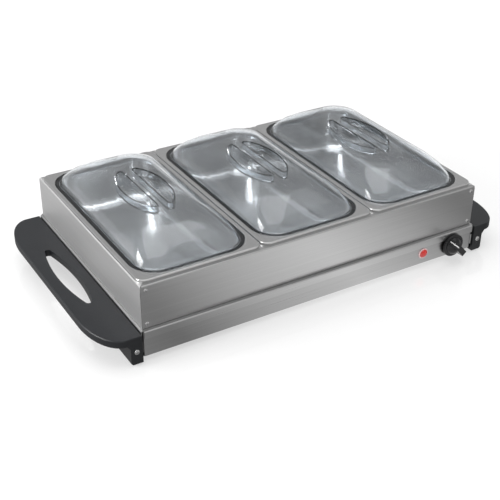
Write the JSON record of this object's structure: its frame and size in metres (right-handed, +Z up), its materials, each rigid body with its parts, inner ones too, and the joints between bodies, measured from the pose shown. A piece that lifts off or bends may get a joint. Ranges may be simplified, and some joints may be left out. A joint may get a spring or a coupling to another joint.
{
  "type": "electric food warmer tray",
  "caption": "Electric buffet warming tray: heated steel base, lift-off frame, drop-in pans with clear domed lids, end handles with moulded legs, and a heat control knob.",
  "frame": {"origin": "centre of the part's overall footprint, on the surface that the rubber feet stand on", "axes": "+X along the tray from the left handle to the right handle, +Y from the control side to the back, +Z up"},
  "size_m": [0.6548, 0.3732, 0.1481],
  "materials": {
    "brushed_steel": "satin brushed",
    "bright_steel": "bright pressed",
    "galvanised": "plain sheet",
    "clear_plastic": "clear moulded",
    "black_plastic": "satin",
    "knob_black": "semi-gloss",
    "white_line": "matte",
    "red_lens": "gloss",
    "pale_ring": "gloss",
    "zinc": "plated",
    "element_sheath": "heat-dulled",
    "aluminium": "bright sheet",
    "switch_plastic": "matte",
    "white_plastic": "matte",
    "wire_sleeve": "matte",
    "rubber": "matte"
  },
  "bodies": {
    "base": {"base_top_plate": "brushed_steel", "base_housing": "brushed_steel", "base_bottom_cover": "galvanised", "cover_screws": "zinc", "heating_element": "element_sheath", "element_clips": "galvanised", "heat_reflector": "aluminium", "thermal_cutout": "aluminium", "thermostat_body": "switch_plastic", "thermostat_nut": "zinc", "pilot_lens": "red_lens", "pilot_bezel": "pale_ring", "pilot_lamp_body": "white_plastic", "terminal_block": "white_plastic", "internal_wires": "wire_sleeve", "cord_gland": "rubber", "handle_left": "black_plastic", "handle_right": "black_plastic", "foot_pads": "rubber", "handle_brackets": "galvanised", "handle_screws": "zinc", "handle_nuts": "zinc"},
    "frame": {"frame_front_panel": "brushed_steel", "frame_back_panel": "brushed_steel", "frame_left_panel": "brushed_steel", "frame_right_panel": "brushed_steel", "frame_divider_left": "brushed_steel", "frame_divider_right": "brushed_steel", "frame_screws": "zinc", "frame_nuts": "zinc"},
    "pan_left": {"pan_left": "bright_steel"},
    "lid_left": {"lid_left": "clear_plastic"},
    "pan_middle": {"pan_middle": "bright_steel"},
    "lid_middle": {"lid_middle": "clear_plastic"},
    "pan_right": {"pan_right": "bright_steel"},
    "lid_right": {"lid_right": "clear_plastic"},
    "knob": {"control_knob": "knob_black", "knob_pointer": "white_line", "thermostat_shaft": "zinc"}
  },
  "joints": [
    {"name": "frame_lift", "type": "slide", "parent": "base", "child": "frame", "axis": [0, 0, 1], "range_m": [0, 0.12]},
    {"name": "pan_left_lift", "type": "slide", "parent": "frame", "child": "pan_left", "axis": [0, 0, 1], "range_m": [0, 0.14]},
    {"name": "pan_middle_lift", "type": "slide", "parent": "frame", "child": "pan_middle", "axis": [0, 0, 1], "range_m": [0, 0.14]},
    {"name": "pan_right_lift", "type": "slide", "parent": "frame", "child": "pan_right", "axis": [0, 0, 1], "range_m": [0, 0.14]},
    {"name": "lid_left_lift", "type": "slide", "parent": "pan_left", "child": "lid_left", "axis": [0, 0, 1], "range_m": [0, 0.12]},
    {"name": "lid_middle_lift", "type": "slide", "parent": "pan_middle", "child": "lid_middle", "axis": [0, 0, 1], "range_m": [0, 0.12]},
    {"name": "lid_right_lift", "type": "slide", "parent": "pan_right", "child": "lid_right", "axis": [0, 0, 1], "range_m": [0, 0.12]},
    {"name": "knob_turn", "type": "hinge", "parent": "base", "child": "knob", "pos_m": [0.231, -0.16595, 0.025], "axis": [0, 1, 0], "range_deg": [0, 270]}
  ]
}
